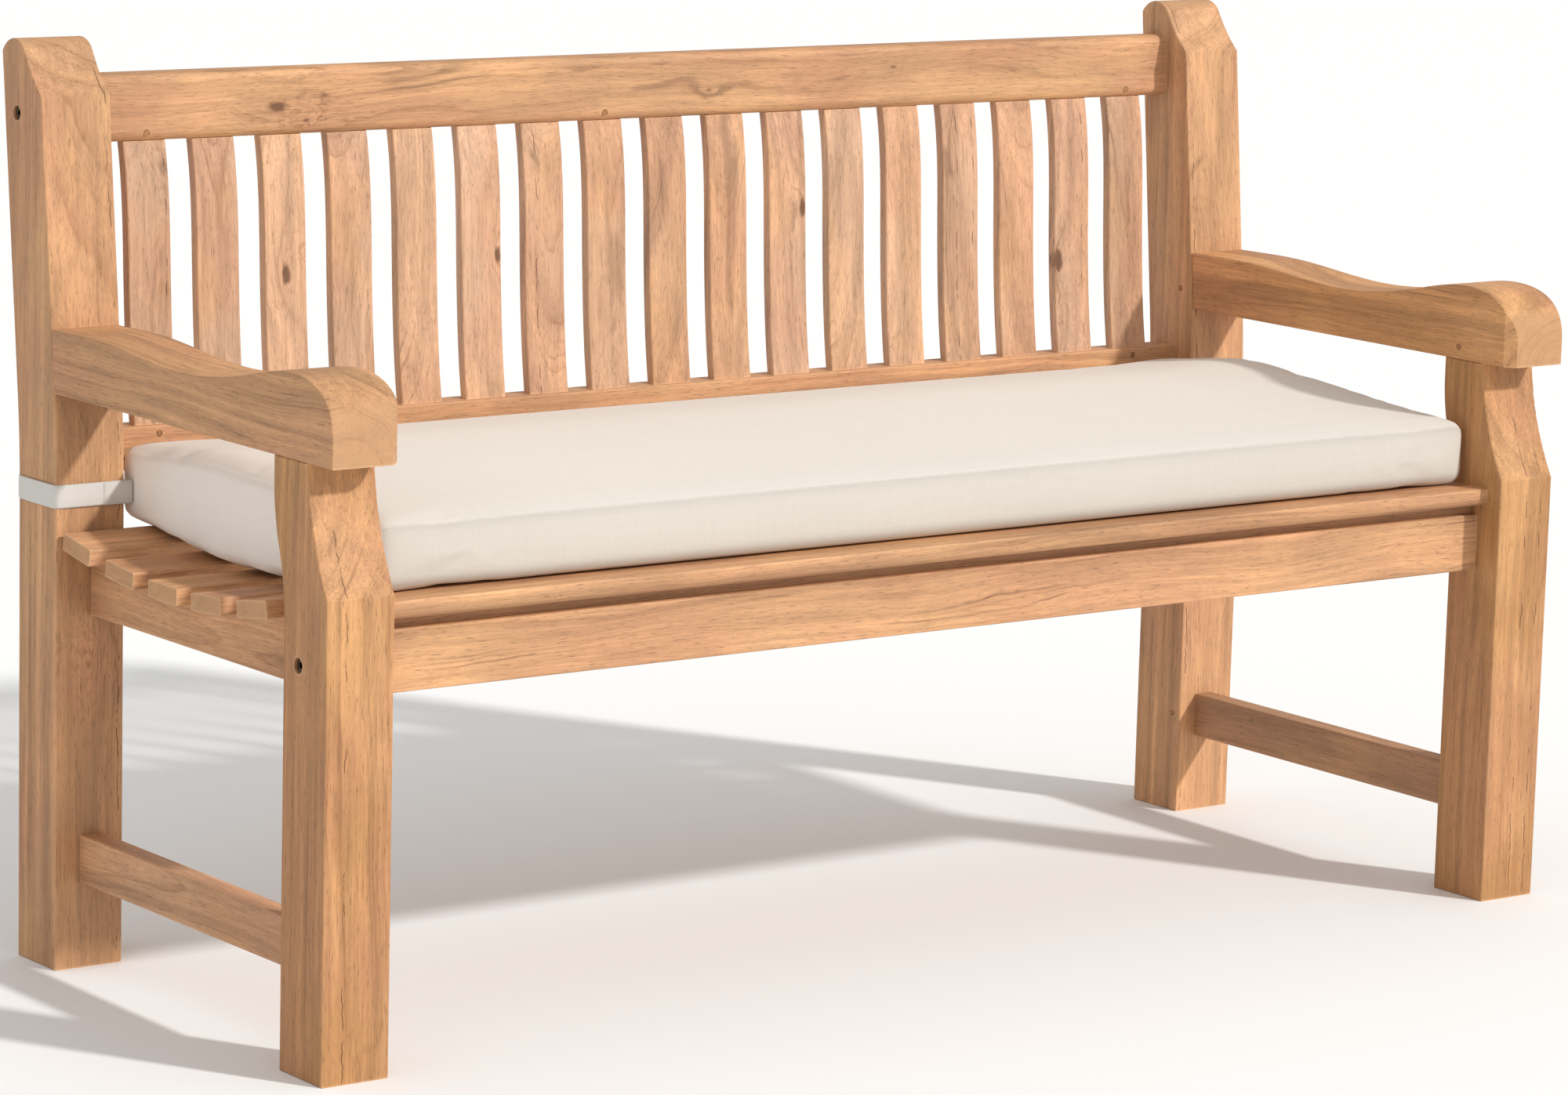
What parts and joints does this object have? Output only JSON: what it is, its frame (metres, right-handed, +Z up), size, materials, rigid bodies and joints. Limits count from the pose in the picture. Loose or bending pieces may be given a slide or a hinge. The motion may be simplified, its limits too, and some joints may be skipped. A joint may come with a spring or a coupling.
{
  "type": "garden bench",
  "caption": "Slatted teak garden bench with raked back, dished seat and shaped arms, with a loose seat cushion strapped to the rear posts.",
  "frame": {"origin": "bottom centre of the overall box, on the ground midway between the legs", "axes": "+X along the bench to the sitter's left, which is the right in a front view, +Y backwards, +Z up; the front faces -Y"},
  "size_m": [1.5036, 0.612, 0.9022],
  "materials": {
    "teak": "fine sanded, unoiled teak",
    "pegs": "end grain of hardwood pegs and dowels",
    "steel": "zinc-plated, dull",
    "cushion_fabric": "plain woven, matt, cream",
    "strap_fabric": "the cushion's cloth, folded and sewn flat, cream"
  },
  "bodies": {
    "frame": {"rear_post_left": "teak", "front_leg_left": "teak", "arm_left": "teak", "side_rail_left": "teak", "stretcher_left": "teak", "rear_post_right": "teak", "front_leg_right": "teak", "arm_right": "teak", "side_rail_right": "teak", "stretcher_right": "teak", "front_apron": "teak", "rear_apron": "teak", "top_rail": "teak", "lower_back_rail": "teak", "seat_bearer": "teak", "front_seat_slat": "teak", "seat_slat_1": "teak", "seat_slat_2": "teak", "seat_slat_3": "teak", "seat_slat_4": "teak", "seat_slat_5": "teak", "back_slat_01": "teak", "back_slat_02": "teak", "back_slat_03": "teak", "back_slat_04": "teak", "back_slat_05": "teak", "back_slat_06": "teak", "back_slat_07": "teak", "back_slat_08": "teak", "back_slat_09": "teak", "back_slat_10": "teak", "back_slat_11": "teak", "back_slat_12": "teak", "back_slat_13": "teak", "back_slat_14": "teak", "back_slat_15": "teak", "back_slat_16": "teak", "back_slat_17": "teak", "corner_blocks": "teak", "front_slat_strip": "teak", "wooden_pegs": "pegs", "seat_dowels": "pegs", "frame_bolts": "steel", "barrel_nuts": "steel", "strap_left": "strap_fabric", "strap_right": "strap_fabric"},
    "cushion": {"cushion": "cushion_fabric"}
  },
  "joints": [
    {"name": "cushion_lift", "type": "hinge", "parent": "frame", "child": "cushion", "pos_m": [0, 0.224, 0.512], "axis": [-1, 0, 0], "range_deg": [0, 90]}
  ]
}
